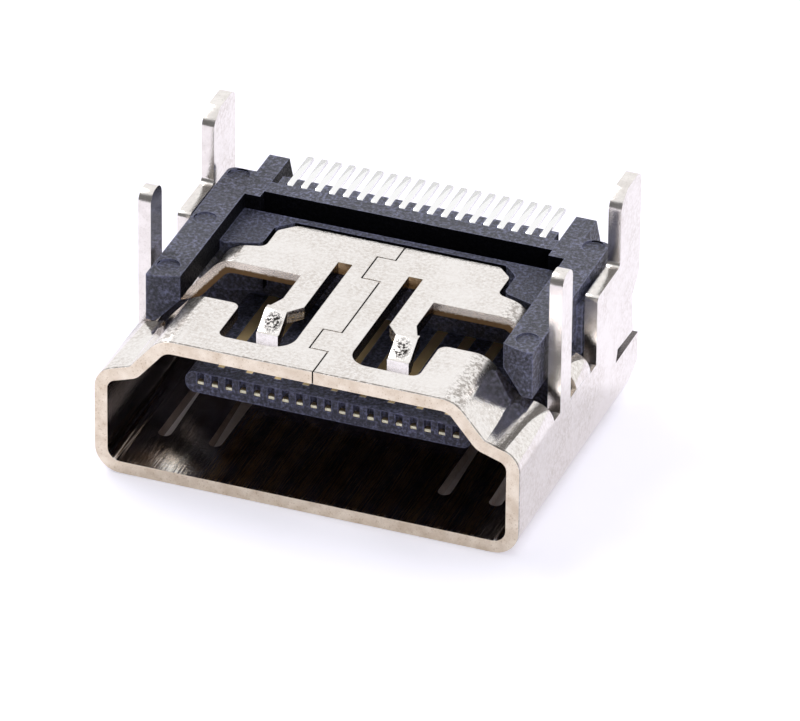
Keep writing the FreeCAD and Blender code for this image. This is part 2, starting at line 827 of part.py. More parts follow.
def write_parts(parts):
    os.makedirs("parts", exist_ok=True)
    for part in parts:
        shape = part.Shape
        if shape.isNull() or not shape.isValid():
            raise RuntimeError("%s has no sound shape" % part.Label)
    for part in parts:
        part.Shape.exportStep("parts/%s.step" % part.Label)
        box = part.Shape.BoundBox
        print("%-12s solids %d volume %8.3f  X %6.2f %6.2f  Y %6.2f %6.2f  Z %6.2f %6.2f" % (
            part.Label, len(part.Shape.Solids), part.Shape.Volume,
            box.XMin, box.XMax, box.YMin, box.YMax, box.ZMin, box.ZMax))


def main():
    document = FreeCAD.newDocument("board_socket")
    sizes = Sizes(document)
    document.recompute()
    derive(sizes)
    shell = make_shell(document, sizes)
    moulding = make_housing(document, sizes)
    count = int(SIZES["contact_count"])
    contacts = [make_contact(document, sizes, n, upper=n % 2 == 0) for n in range(1, count + 1)]
    comb = make_comb(document, sizes)
    housing = seat_contacts(document, moulding, contacts)
    document.recompute()
    check_document(document)
    write_parts([shell, housing, comb] + contacts)


main()
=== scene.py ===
import math

import bmesh
import bpy
from mathutils import Matrix, Vector


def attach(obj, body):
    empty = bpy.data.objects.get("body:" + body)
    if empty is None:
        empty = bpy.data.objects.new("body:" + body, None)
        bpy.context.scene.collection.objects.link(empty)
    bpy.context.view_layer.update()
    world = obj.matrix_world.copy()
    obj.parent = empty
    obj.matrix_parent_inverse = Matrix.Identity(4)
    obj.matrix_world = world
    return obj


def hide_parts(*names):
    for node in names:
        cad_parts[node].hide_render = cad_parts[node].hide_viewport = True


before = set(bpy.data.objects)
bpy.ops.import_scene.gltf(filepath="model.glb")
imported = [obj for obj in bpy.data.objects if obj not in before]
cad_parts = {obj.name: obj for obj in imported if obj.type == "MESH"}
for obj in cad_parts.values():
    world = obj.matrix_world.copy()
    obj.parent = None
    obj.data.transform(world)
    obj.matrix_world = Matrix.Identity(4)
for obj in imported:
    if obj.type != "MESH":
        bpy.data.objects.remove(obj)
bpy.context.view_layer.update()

# A plated board socket lying on its wide face: a folded sheet shell, a dark moulding, gilt contacts
# and tinned tails. Lengths are in metres in the socket's own frame: X runs across the mouth, Y towards
# the tails and Z up. Colours are linear.

MM = 0.001
CONTACTS = ["contact_%02d" % number for number in range(1, 20)]

# Camera: angles in degrees, sensor and lens in millimetres
CAMERA_AZIMUTH = 20.578
CAMERA_ELEVATION = 31.603
CAMERA_ROLL = 0.619
CAMERA_DISTANCE = 358.33 * MM
CAMERA_TARGET = Vector((1.216, -0.526, 3.0)) * MM
SENSOR_WIDTH = 36.0
LENS_LENGTH = 487.71
NEAREST_SEEN = 0.01
FURTHEST_SEEN = 20.0

# Lamps: places and sizes in metres, power in watts
LAMP_TARGET = (0.0, 0.0, 0.0)
KEY_PLACE = (-0.52, 0.20, 0.62)
KEY_SIZE = 0.50
KEY_POWER = 2.9
KEY_COLOUR = (1.0, 0.99, 0.98)
FILL_PLACE = (0.55, -0.50, 0.32)
FILL_SIZE = 0.45
FILL_POWER = 1.9
FILL_COLOUR = (0.97, 0.98, 1.0)

# Room light by direction: white behind and overhead, dim in front
ROOM_DIM = 0.17
ROOM_WHITE = 0.95
WHITENS_BEHIND = (-0.35, 0.30)
WHITENS_ABOVE = (0.50, 0.85)
FADES_IN_FRONT = (-0.60, -0.25)
BLACK = (0.0, 0.0, 0.0, 1.0)
WHITE = (1.0, 1.0, 1.0, 1.0)

# Floor: its size, where a painted shade darkens it under the socket, and how much of its white it gives out
# itself
FLOOR_RADIUS = 1.2
FLOOR_SEGMENTS = 48
FLOOR_DROP = 0.02 * MM
SOCKET_HALF_WIDTH = 7.45 * MM
SOCKET_HALF_DEPTH = 6.0 * MM
SHADE_BORDER = (0.80, 1.0)
FLOOR_GLOW = 0.38
FLOOR_MIRRORED = 0.45

# Places on the shell and the moulding that tell one finish from another
SIDE_WALL_INNER = 6.95 * MM
LEG_FOOT_HEIGHT = 3.5 * MM
LIP_REAR = -5.9 * MM
WIDE_FACE_TOP = 1.0 * MM
SLIT_LOW = 2.0 * MM
SLIT_HIGH = 3.0 * MM
SEAM_REACH = 0.95 * MM
LATCH_TIP_REAR = -2.0 * MM
STRAP_REAR = 0.0
MOUTH_MIDDLE = 2.5 * MM
MOUTH_TOP = 5.5 * MM
ARM_LOW = 4.2 * MM
ARM_NOSE_REAR = -3.0 * MM
BLOCK_FRONT = 2.0 * MM
CONTACT_TIP_REAR = -2.0 * MM

# How squarely a face looks along an axis, as a part of its normal
SQUARELY = 0.9
MOSTLY = 0.5
SLIGHTLY = 0.3

# Outside of the flat plate and of the slants beside it, and what happens to the sheet there
PLATE_TOP = 5.45 * MM
SLANT_ANGLE = 50.2
SLANT_REACH = 7.451 * MM
PEENED_REACH = (0.15 * MM, 0.42 * MM)
# Painted shade: the strap's cut face turns dark below this depth
BURNISHED_DEPTH = 0.25 * MM
TORN_BORDER = 0.06 * MM

# Marks on the plate: a painted shade line behind the lip, painted highlights in the mouth, and scuffs on
# the latches
# Painted shade: a dark line along the lip's outer edge, between these borders
LINE_FRONT = (-5.985 * MM, -5.965 * MM)
LINE_REAR = (-5.925 * MM, -5.905 * MM)
# Painted highlights in the mouth: a speckled line along the rim, and a bright patch near one front corner
PAINTED_RIM_HIGHLIGHT = (-5.93 * MM, -5.80 * MM)
PAINTED_HIGHLIGHT_SPOT = Vector((-4.4, -5.4, 0.3)) * MM
PAINTED_HIGHLIGHT_REACH = (0.5 * MM, 1.4 * MM)
SCUFF_ACROSS = 2.26 * MM
SCUFF_ALONG = -3.17 * MM
SCUFF_REACH = (0.20 * MM, 0.36 * MM)
TIN_START = (3.0 * MM, 3.4 * MM)

# Edge rounding of each piece, its number of steps, and the angles that it goes by in degrees
SHELL_ROUNDING = 0.05 * MM
HOUSING_ROUNDING = 0.04 * MM
COMB_ROUNDING = 0.03 * MM
CONTACT_ROUNDING = 0.02 * MM
ROUND_STEPS = 2
CHAMFER_STEPS = 1
MERGE_DISTANCE = 0.001 * MM
FLAT_ANGLE = 0.6
SHARP_ANGLE = 32.0
FLAT_FACE_WEIGHT = 80

# Metal colours
NICKEL = (0.965, 0.93, 0.905, 1.0)
NICKEL_WARM = (0.66, 0.60, 0.55, 1.0)
# Painted shade for the line by the lip and the plate's edges, and the dark of the peened pocks
NICKEL_PITS_AND_PAINTED_SHADE = (0.16, 0.13, 0.11, 1.0)
# Painted highlight in the mouth, then painted shade: darker copies of the nickel for the inside of the
# mouth
NICKEL_PAINTED_HIGHLIGHT = (1.0, 0.97, 0.93, 1.0)
MOUTH_NICKEL_PAINTED_SHADE = (0.44, 0.37, 0.33, 1.0)
MOUTH_NICKEL_WARM_PAINTED_SHADE = (0.27, 0.20, 0.16, 1.0)
LIP_EDGE = (0.93, 0.84, 0.70, 1.0)
LIP_EDGE_DARK = (0.60, 0.48, 0.35, 1.0)
SHEARED_EDGE = (0.95, 0.91, 0.88, 1.0)
SHEARED_EDGE_DARK = (0.40, 0.34, 0.30, 1.0)
# Gold-brown cut metal at the windows' rear ends, kept darker as painted shade
WINDOW_EDGE = (0.93, 0.68, 0.40, 1.0)
WINDOW_EDGE_DARK = (0.28, 0.13, 0.035, 1.0)
STRAP_EDGE = (0.95, 0.88, 0.78, 1.0)
# Painted shade on the torn lower part of a strap's cut face
TEAR_AND_PAINTED_SHADE = (0.20, 0.125, 0.06, 1.0)
# Painted shade: dark copies of the cut metal for the slits' faces and the seam
SLIT_FACE_PAINTED_SHADE = (0.14, 0.12, 0.12, 1.0)
SLIT_FACE_DARKER_PAINTED_SHADE = (0.05, 0.035, 0.04, 1.0)
SCUFF_DARK = (0.03, 0.026, 0.024, 1.0)
GOLD = (0.95, 0.73, 0.40, 1.0)
# Painted highlight: paler gold for the contact tips
GOLD_PAINTED_HIGHLIGHT = (1.0, 0.975, 0.83, 1.0)
TIN = (1.0, 0.998, 0.995, 1.0)

# Moulding and table colours
SLATE = (0.008, 0.010, 0.024, 1.0)
SLATE_PALE = (0.25, 0.265, 0.47, 1.0)
# Painted shade: darker copies of the slate for faces that look inwards or forwards
SLATE_PAINTED_SHADE = (0.0015, 0.0016, 0.003, 1.0)
SLATE_PAINTED_SHADE_PALE = (0.009, 0.009, 0.016, 1.0)
SLATE_DEEPER_PAINTED_SHADE = (0.0010, 0.0010, 0.0018, 1.0)
SLATE_DEEPER_PAINTED_SHADE_PALE = (0.0055, 0.0055, 0.0095, 1.0)
TABLE = (0.80, 0.79, 0.88, 1.0)
# Painted shade: the table's colour under the socket
TABLE_PAINTED_SHADE = (0.72, 0.67, 0.68, 1.0)
TABLE_GLOW = (0.955, 0.945, 1.0, 1.0)
TABLE_MIRRORED = (1.0, 0.92, 0.84, 1.0)

# Finishes of the shell, the moulding and the contacts, among them painted shade and a painted highlight, in
# the order that their meshes list them
PLATED, INNER, LIP, SHEARED, WINDOW, SLIT, SCUFFED, STRAP = range(8)
MOULDED, MOULDED_PAINTED_SHADE, MOULDED_DEEPER_PAINTED_SHADE = range(3)
GILT, TIP_PAINTED_HIGHLIGHT = range(2)


class Graph:
    """Adds and joins the nodes of one material, world or group."""

    def __init__(self, tree):
        self.tree = tree

    def join(self, source, target):
        self.tree.links.new(source, target)

    def feed(self, value, socket):
        """Joins a socket's value to another socket, or sets a plain one on it."""
        if isinstance(value, bpy.types.NodeSocket):
            self.join(value, socket)
        else:
            socket.default_value = value

    def add(self, kind, inputs=None, **settings):
        node = self.tree.nodes.new(kind)
        for name, value in settings.items():
            setattr(node, name, value)
        for name, value in (inputs or {}).items():
            self.feed(value, node.inputs[name])
        return node

    def math(self, operation, first, second=0.0, clamp=False):
        inputs = {0: first, 1: second}
        return self.add("ShaderNodeMath", inputs, operation=operation, use_clamp=clamp).outputs[0]

    def mix(self, factor, first, second):
        node = self.add("ShaderNodeMix", data_type="RGBA")
        factor_socket, first_socket, second_socket = node.inputs[0], node.inputs[6], node.inputs[7]
        self.feed(factor, factor_socket)
        self.feed(first, first_socket)
        self.feed(second, second_socket)
        return node.outputs[2]

    def blend(self, factor, first, second):
        """What mix does with colours, for plain numbers."""
        return self.add("ShaderNodeMix", {0: factor, 2: first, 3: second}).outputs[0]

    def spread(self, value, over, to=(0.0, 1.0)):
        """The value, stretched from the first range to the second and held at its ends."""
        return self.add("ShaderNodeMapRange", {
            "Value": value, "From Min": over[0], "From Max": over[1], "To Min": to[0], "To Max": to[1],
        }).outputs[0]


# Camera, floor and light

def place_camera():
    azimuth = math.radians(CAMERA_AZIMUTH)
    elevation = math.radians(CAMERA_ELEVATION)
    roll = math.radians(CAMERA_ROLL)
    back = Vector((
        math.sin(azimuth) * math.cos(elevation),
        -math.cos(azimuth) * math.cos(elevation),
        math.sin(elevation),
    ))
    level = Vector((math.cos(azimuth), math.sin(azimuth), 0.0))
    upright = back.cross(level)
    right = level * math.cos(roll) + upright * math.sin(roll)
    up = upright * math.cos(roll) - level * math.sin(roll)
    lens = bpy.data.cameras.new("camera")
    lens.sensor_fit = "HORIZONTAL"
    lens.sensor_width = SENSOR_WIDTH
    lens.lens = LENS_LENGTH
    lens.clip_start = NEAREST_SEEN
    lens.clip_end = FURTHEST_SEEN
    camera = bpy.data.objects.new("camera", lens)
    place = Matrix((right, up, back)).transposed().to_4x4()
    place.translation = CAMERA_TARGET + back * CAMERA_DISTANCE
    camera.matrix_world = place
    bpy.context.scene.collection.objects.link(camera)
    bpy.context.scene.camera = camera


def add_lamp(name, place, size, power, colour):
    light = bpy.data.lights.new(name, "AREA")
    light.shape = "DISK"
    light.size = size
    light.energy = power
    light.color = colour
    lamp = bpy.data.objects.new(name, light)
    lamp.location = place
    away = Vector(place) - Vector(LAMP_TARGET)
    lamp.rotation_euler = away.to_track_quat("Z", "Y").to_euler()
    bpy.context.scene.collection.objects.link(lamp)


def light_room():
    world = bpy.data.worlds.new("room")
    bpy.context.scene.world = world
    world.use_nodes = True
    world.node_tree.nodes.clear()
    graph = Graph(world.node_tree)
    direction = graph.add("ShaderNodeTexCoord").outputs["Generated"]
    parts = graph.add("ShaderNodeSeparateXYZ", {"Vector": direction})
    behind = graph.spread(parts.outputs["Y"], WHITENS_BEHIND, (ROOM_DIM, ROOM_WHITE))
    overhead = graph.spread(parts.outputs["Z"], WHITENS_ABOVE, (0.0, ROOM_WHITE))
    overhead = graph.math("MULTIPLY", overhead, graph.spread(parts.outputs["Y"], FADES_IN_FRONT))
    tone = graph.math("MAXIMUM", behind, overhead)
    path = graph.add("ShaderNodeLightPath")
    tone = graph.math("MAXIMUM", tone, path.outputs["Is Camera Ray"])
    seen = graph.mix(tone, BLACK, WHITE)
    background = graph.add("ShaderNodeBackground", {"Color": seen, "Strength": 1.0})
    output = graph.add("ShaderNodeOutputWorld")
    graph.join(background.outputs[0], output.inputs["Surface"])


def make_white_table():
    """White with a painted shade under the socket, and that gives out part of its white wherever it is
    seen.
    """
    material = bpy.data.materials.new("white_table")
    material.use_nodes = True
    material.node_tree.nodes.clear()
    graph = Graph(material.node_tree)
    place = graph.add("ShaderNodeTexCoord").outputs["Object"]
    parts = graph.add("ShaderNodeSeparateXYZ", {"Vector": place})
    across = graph.math("DIVIDE", graph.math("ABSOLUTE", parts.outputs["X"]), SOCKET_HALF_WIDTH)
    along = graph.math("DIVIDE", graph.math("ABSOLUTE", parts.outputs["Y"]), SOCKET_HALF_DEPTH)
    # Painted shade under the socket: the table's colour darkens and its glow fades out there
    outside = graph.spread(graph.math("MAXIMUM", across, along), SHADE_BORDER)
    path = graph.add("ShaderNodeLightPath")
    mirrored = graph.math("MULTIPLY", path.outputs["Is Glossy Ray"], FLOOR_MIRRORED)
    looked_at = graph.math("MAXIMUM", path.outputs["Is Camera Ray"], mirrored)
    looked_at = graph.math("MAXIMUM", looked_at, path.outputs["Is Transmission Ray"])
    looked_at = graph.math("MULTIPLY", looked_at, outside)
    matt = graph.add("ShaderNodeBsdfDiffuse", {"Color": graph.mix(outside, TABLE_PAINTED_SHADE, TABLE)})
    glow = graph.add("ShaderNodeEmission", {
        "Color": graph.mix(path.outputs["Is Glossy Ray"], TABLE_GLOW, TABLE_MIRRORED),
        "Strength": graph.math("MULTIPLY", looked_at, FLOOR_GLOW),
    })
    both = graph.add("ShaderNodeAddShader", {0: matt.outputs[0], 1: glow.outputs[0]})
    output = graph.add("ShaderNodeOutputMaterial")
    graph.join(both.outputs[0], output.inputs["Surface"])
    return material


def lay_floor():
    mesh = bpy.data.meshes.new("floor")
    shape = bmesh.new()
    bmesh.ops.create_circle(shape, cap_ends=True, segments=FLOOR_SEGMENTS, radius=FLOOR_RADIUS)
    bmesh.ops.translate(shape, vec=(0.0, 0.0, -FLOOR_DROP), verts=shape.verts)
    bmesh.ops.recalc_face_normals(shape, faces=shape.faces)
    shape.to_mesh(mesh)
    shape.free()
    mesh.materials.append(make_white_table())
    floor = bpy.data.objects.new("floor", mesh)
    bpy.context.scene.collection.objects.link(floor)


# Shared effects

def new_group(name, inputs, outputs):
    """An empty node group, from its inputs' defaults, None for a place, and the names of its outputs."""
    group = bpy.data.node_groups.new(name, "ShaderNodeTree")
    for label, default in inputs.items():
        kind = "NodeSocketVector" if default is None else "NodeSocketFloat"
        socket = group.interface.new_socket(name=label, in_out="INPUT", socket_type=kind)
        if default is not None:
            socket.default_value = default
    for label in outputs:
        group.interface.new_socket(name=label, in_out="OUTPUT", socket_type="NodeSocketFloat")
    graph = Graph(group)
    return group, graph, graph.add("NodeGroupInput"), graph.add("NodeGroupOutput")


def make_fine_grain():
    """Pits, flecks and mottling of about the size given, over slow cloudy drift, sizes in millimetres."""
    flecks_per_pit = 0.45
    mottles_per_pit = 0.55
    group, graph, given, made = new_group(
        "fine_grain",
        {"Place": None, "Size": 0.05, "Drift Size": 1.5},
        ["Height", "Flecks", "Mottle", "Drift"],
    )
    place = given.outputs["Place"]
    pit_scale = graph.math("DIVIDE", 1.0 / MM, given.outputs["Size"])
    fleck_scale = graph.math("MULTIPLY", pit_scale, flecks_per_pit)
    mottle_scale = graph.math("MULTIPLY", pit_scale, mottles_per_pit)
    drift_scale = graph.math("DIVIDE", 1.0 / MM, given.outputs["Drift Size"])
    pits = graph.add("ShaderNodeTexNoise", {
        "Vector": place, "Scale": pit_scale, "Detail": 3.0, "Roughness": 0.6,
    })
    flecks = graph.add("ShaderNodeTexVoronoi", {"Vector": place, "Scale": fleck_scale})
    mottle = graph.add("ShaderNodeTexNoise", {
        "Vector": place, "Scale": mottle_scale, "Detail": 4.0, "Roughness": 0.7,
    })
    drift = graph.add("ShaderNodeTexNoise", {
        "Vector": place, "Scale": drift_scale, "Detail": 4.0, "Roughness": 0.55,
    })
    graph.join(pits.outputs["Fac"], made.inputs["Height"])
    in_flecks = graph.spread(flecks.outputs["Distance"], over=(0.05, 0.32), to=(1.0, 0.0))
    graph.join(in_flecks, made.inputs["Flecks"])
    graph.join(graph.spread(mottle.outputs["Fac"], over=(0.38, 0.64)), made.inputs["Mottle"])
    graph.join(graph.spread(drift.outputs["Fac"], over=(0.35, 0.65)), made.inputs["Drift"])
    return group


def make_nearness_to_edges():
    """How near a point is to an edge, broken up by grain."""
    alike = 0.995
    turned_away = 0.80
    strongest = 1.25
    group, graph, given, made = new_group(
        "nearness_to_edges",
        {"Reach": 0.08 * MM, "Break Up": 0.5},
        ["Mask"],
    )
    rounded = graph.add("ShaderNodeBevel", {"Radius": given.outputs["Reach"]}, samples=4)
    plain = graph.add("ShaderNodeNewGeometry")
    normals = {0: rounded.outputs[0], 1: plain.outputs["Normal"]}
    likeness = graph.add("ShaderNodeVectorMath", normals, operation="DOT_PRODUCT")
    near = graph.spread(likeness.outputs["Value"], over=(alike, turned_away))
    kept = graph.math("SUBTRACT", strongest, given.outputs["Break Up"])
    graph.join(graph.math("MULTIPLY", near, kept, clamp=True), made.inputs["Mask"])
    return group


def make_sheet_depth():
    """How far a point of the shell lies under the outside of the flat plate, and under that of a slant."""
    group, graph, given, made = new_group(
        "sheet_depth",
        {"Place": None},
        ["Under Plate", "Under Slant"],
    )
    parts = graph.add("ShaderNodeSeparateXYZ", {"Vector": given.outputs["Place"]})
    graph.join(graph.math("SUBTRACT", PLATE_TOP, parts.outputs["Z"]), made.inputs["Under Plate"])
    sideways = graph.math("ABSOLUTE", parts.outputs["X"])
    sideways = graph.math("MULTIPLY", sideways, math.sin(math.radians(SLANT_ANGLE)))
    upwards = graph.math("MULTIPLY", parts.outputs["Z"], math.cos(math.radians(SLANT_ANGLE)))
    reach = graph.math("ADD", sideways, upwards)
    graph.join(graph.math("SUBTRACT", SLANT_REACH, reach), made.inputs["Under Slant"])
    return group


# Materials

def new_material(name, metallic=0.0):
    """A material with its graph, its shader, and the place of a point on the piece."""
    material = bpy.data.materials.new(name)
    material.use_nodes = True
    graph = Graph(material.node_tree)
    shader = material.node_tree.nodes["Principled BSDF"]
    shader.inputs["Metallic"].default_value = metallic
    place = graph.add("ShaderNodeTexCoord").outputs["Object"]
    return material, graph, shader, place


def add_grain(graph, grain, place, size, drift_size):
    """The outputs of the shared grain by name, with both sizes in millimetres."""
    inputs = {"Place": place, "Size": size, "Drift Size": drift_size}
    return graph.add("ShaderNodeGroup", inputs, node_tree=grain).outputs


def add_bump(graph, shader, height, strength, distance, invert=False):
    inputs = {"Height": height, "Strength": strength, "Distance": distance}
    bump = graph.add("ShaderNodeBump", inputs, invert=invert)
    graph.join(bump.outputs[0], shader.inputs["Normal"])


def make_nickel(grain, edge_nearness, sheet_depth):
    """Bright plate with fine flecks, peened at the bends beside the slants, with painted shade in a dark
    line by the lip and along its edges.
    """
    warmest = 0.7
    even_warmth = 0.25
    painted_edge_shade = 0.45
    peened_roughness = 0.24
    drift_roughness = 0.03
    drawing_scale = 9000.0
    drawing_stretch = 0.12
    drawing_height = 0.6
    material, graph, shader, place = new_material("bright_nickel", metallic=1.0)
    texture = add_grain(graph, grain, place, size=0.075, drift_size=1.6)

    warmth = graph.math("MULTIPLY", texture["Drift"], texture["Mottle"])
    warmth = graph.math("ADD", graph.math("MULTIPLY", texture["Mottle"], even_warmth), warmth, clamp=True)
    plate = graph.mix(graph.math("MULTIPLY", warmth, warmest), NICKEL, NICKEL_WARM)

    along = graph.add("ShaderNodeSeparateXYZ", {"Vector": place}).outputs["Y"]
    # Painted shade: a broken dark line along the lip's outer edge
    line_front = graph.spread(along, LINE_FRONT)
    line = graph.math("MULTIPLY", line_front, graph.spread(along, LINE_REAR, (1.0, 0.0)))
    broken_line = graph.spread(texture["Mottle"], over=(0.1, 0.5), to=(0.35, 0.9))
    line = graph.math("MULTIPLY", line, broken_line)

    # Painted shade along the plate's edges
    edge_inputs = {"Reach": 0.06 * MM, "Break Up": texture["Height"]}
    edge = graph.add("ShaderNodeGroup", edge_inputs, node_tree=edge_nearness)
    edge = graph.math("MULTIPLY", edge.outputs["Mask"], painted_edge_shade)

    depth = graph.add("ShaderNodeGroup", {"Place": place}, node_tree=sheet_depth)
    from_plate = graph.math("ABSOLUTE", depth.outputs["Under Plate"])
    from_slant = graph.math("ABSOLUTE", depth.outputs["Under Slant"])
    peened = graph.spread(graph.math("MAXIMUM", from_plate, from_slant), PEENED_REACH, (1.0, 0.0))
    pocks = graph.spread(texture["Mottle"], over=(0.35, 0.75), to=(0.0, 0.60))
    pocks = graph.math("MULTIPLY", pocks, peened)

    dark = graph.math("MAXIMUM", graph.math("MAXIMUM", edge, line), pocks)
    graph.join(graph.mix(dark, plate, NICKEL_PITS_AND_PAINTED_SHADE), shader.inputs["Base Color"])

    rough = graph.spread(texture["Height"], over=(0.3, 0.7), to=(0.04, 0.10))
    rough = graph.math("ADD", rough, graph.math("MULTIPLY", texture["Drift"], drift_roughness))
    rough = graph.math("ADD", rough, graph.math("MULTIPLY", peened, peened_roughness))
    graph.join(rough, shader.inputs["Roughness"])

    drawn = graph.add("ShaderNodeMapping", {"Vector": place, "Scale": (1.0, drawing_stretch, 1.0)})
    drawing_lines = graph.add("ShaderNodeTexNoise", {
        "Vector": drawn.outputs[0], "Scale": drawing_scale, "Detail": 2.0,
    }).outputs["Fac"]
    height = graph.math("ADD", texture["Height"], graph.math("MULTIPLY", drawing_lines, drawing_height))
    add_bump(graph, shader, height, strength=0.28, distance=0.01 * MM)
    return material


def make_inner_nickel(grain):
    """Darker plate inside the mouth, darkened as painted shade, with slanting scratches, a painted
    highlight near one corner and a speckled painted highlight along the rim.
    """
    scratch_turn = 0.7
    scratch_scale = 12000.0
    scratch_stretch = 0.06
    pit_height = 0.4
    material, graph, shader, place = new_material("mouth_nickel_painted_shade", metallic=1.0)
    texture = add_grain(graph, grain, place, size=0.12, drift_size=1.2)

    # Painted highlight: a bright patch near one front corner of the mouth
    corner = graph.add("ShaderNodeVectorMath", {0: place, 1: PAINTED_HIGHLIGHT_SPOT}, operation="DISTANCE")
    painted_highlight = graph.spread(corner.outputs["Value"], PAINTED_HIGHLIGHT_REACH, (1.0, 0.0))
    along = graph.add("ShaderNodeSeparateXYZ", {"Vector": place}).outputs["Y"]
    # Painted highlight: a speckled bright line along the mouth's rim
    painted_rim_highlight = graph.spread(along, PAINTED_RIM_HIGHLIGHT, (1.0, 0.0))
    painted_rim_highlight = graph.math("MULTIPLY", painted_rim_highlight, graph.spread(texture["Mottle"], over=(0.45, 0.75)))
    painted_highlight = graph.math("MAXIMUM", painted_highlight, painted_rim_highlight)
    # Painted shade: darker copies of the nickel inside the mouth
    painted_shade_plate = graph.mix(texture["Drift"], MOUTH_NICKEL_PAINTED_SHADE, MOUTH_NICKEL_WARM_PAINTED_SHADE)
    graph.join(graph.mix(painted_highlight, painted_shade_plate, NICKEL_PAINTED_HIGHLIGHT), shader.inputs["Base Color"])

    turned = graph.add("ShaderNodeMapping", {
        "Vector": place, "Rotation": (0.0, 0.0, scratch_turn), "Scale": (1.0, scratch_stretch, 1.0),
    })
    scratches = graph.add("ShaderNodeTexNoise", {
        "Vector": turned.outputs[0], "Scale": scratch_scale, "Detail": 3.0,
    }).outputs["Fac"]
    rough = graph.spread(scratches, over=(0.3, 0.7), to=(0.05, 0.16))
    graph.join(rough, shader.inputs["Roughness"])
    height = graph.math("ADD", scratches, graph.math("MULTIPLY", texture["Height"], pit_height))
    add_bump(graph, shader, height, strength=0.35, distance=0.02 * MM)
    return material


def make_scuffed_nickel(grain):
    """The latch slopes where a plug's shell has rubbed them: bright, round a patch of dark dimples."""
    material, graph, shader, place = new_material("scuffed_nickel", metallic=1.0)
    texture = add_grain(graph, grain, place, size=0.055, drift_size=0.4)
    parts = graph.add("ShaderNodeSeparateXYZ", {"Vector": place})
    across = graph.math("SUBTRACT", graph.math("ABSOLUTE", parts.outputs["X"]), SCUFF_ACROSS)
    along = graph.math("SUBTRACT", parts.outputs["Y"], SCUFF_ALONG)
    across_squared = graph.math("POWER", across, 2.0)
    along_squared = graph.math("POWER", along, 2.0)
    reach = graph.math("SQRT", graph.math("ADD", across_squared, along_squared))
    patch = graph.spread(reach, SCUFF_REACH, (1.0, 0.0))
    dimples = graph.math("MULTIPLY", graph.spread(texture["Mottle"], over=(0.40, 0.62)), patch)
    graph.join(graph.mix(dimples, NICKEL, SCUFF_DARK), shader.inputs["Base Color"])
    rough = graph.spread(texture["Mottle"], over=(0.2, 0.8), to=(0.15, 0.40))
    graph.join(rough, shader.inputs["Roughness"])
    add_bump(graph, shader, dimples, strength=0.8, distance=0.03 * MM, invert=True)
    return material


def make_sheared_edge(grain, name, pale, dark, contrast, smoothest):
    """A cut face: pale metal broken by darker flecks and clouds, as strongly as contrast says."""
    roughest = smoothest + 0.12
    half = 0.5
    material, graph, shader, place = new_material(name, metallic=1.0)
    texture = add_grain(graph, grain, place, size=0.05, drift_size=0.5)
    flecks = graph.math("MULTIPLY", texture["Flecks"], half)
    clouds = graph.math("MULTIPLY", texture["Drift"], half)
    tone = graph.math("MULTIPLY", graph.math("ADD", flecks, clouds), contrast, clamp=True)
    graph.join(graph.mix(tone, pale, dark), shader.inputs["Base Color"])
    rough = graph.spread(texture["Height"], over=(0.3, 0.7), to=(smoothest, roughest))
    graph.join(rough, shader.inputs["Roughness"])
    add_bump(graph, shader, texture["Height"], strength=0.25, distance=0.02 * MM)
    return material


def make_strap_edge(grain, sheet_depth):
    """The cut face of a strap: burnished near the outside of the sheet, torn below and darkened there as
    painted shade.
    """
    fleck_strength = 0.45
    material, graph, shader, place = new_material("strap_edge", metallic=1.0)
    texture = add_grain(graph, grain, place, size=0.05, drift_size=0.5)
    under = graph.add("ShaderNodeGroup", {"Place": place}, node_tree=sheet_depth)
    depth = graph.math("MINIMUM", under.outputs["Under Plate"], under.outputs["Under Slant"])
    ragged = graph.math("MULTIPLY", texture["Mottle"], TORN_BORDER)
    border = (BURNISHED_DEPTH, BURNISHED_DEPTH + TORN_BORDER)
    # Torn lower part, darkened as painted shade
    tear_and_painted_shade = graph.spread(graph.math("ADD", depth, ragged), border)
    flecks = graph.math("MULTIPLY", texture["Flecks"], fleck_strength)
    burnished = graph.mix(flecks, STRAP_EDGE, SHEARED_EDGE_DARK)
    graph.join(graph.mix(tear_and_painted_shade, burnished, TEAR_AND_PAINTED_SHADE), shader.inputs["Base Color"])
    graph.join(graph.spread(tear_and_painted_shade, over=(0.0, 1.0), to=(0.22, 0.40)), shader.inputs["Roughness"])
    add_bump(graph, shader, texture["Height"], strength=0.3, distance=0.02 * MM)
    return material


def make_moulding(grain, edge_nearness, name, dark, pale, sheen):
    """Slate moulding with a fine mottled skin and paler edges, as glossy as sheen says."""
    mottle_strength = 0.6
    fleck_strength = 0.12
    edge_strength = 0.6
    material, graph, shader, place = new_material(name)
    texture = add_grain(graph, grain, place, size=0.065, drift_size=1.0)
    edge_inputs = {"Reach": 0.10 * MM, "Break Up": texture["Height"]}
    edge = graph.add("ShaderNodeGroup", edge_inputs, node_tree=edge_nearness)
    tone = graph.math("MULTIPLY", graph.math("POWER", texture["Mottle"], 2.0), mottle_strength)
    tone = graph.math("ADD", tone, graph.math("MULTIPLY", texture["Flecks"], fleck_strength))
    clouds = graph.spread(texture["Drift"], over=(0.0, 1.0), to=(0.65, 1.25))
    tone = graph.math("MULTIPLY", tone, clouds)
    edge = graph.math("MULTIPLY", edge.outputs["Mask"], edge_strength)
    tone = graph.math("ADD", tone, edge, clamp=True)
    graph.join(graph.mix(tone, dark, pale), shader.inputs["Base Color"])
    shader.inputs["Specular IOR Level"].default_value = sheen
    rough = graph.spread(texture["Mottle"], over=(0.0, 1.0), to=(0.55, 0.32))
    graph.join(rough, shader.inputs["Roughness"])
    skin = graph.math("ADD", texture["Mottle"], texture["Height"])
    add_bump(graph, shader, skin, strength=0.9, distance=0.03 * MM)
    return material


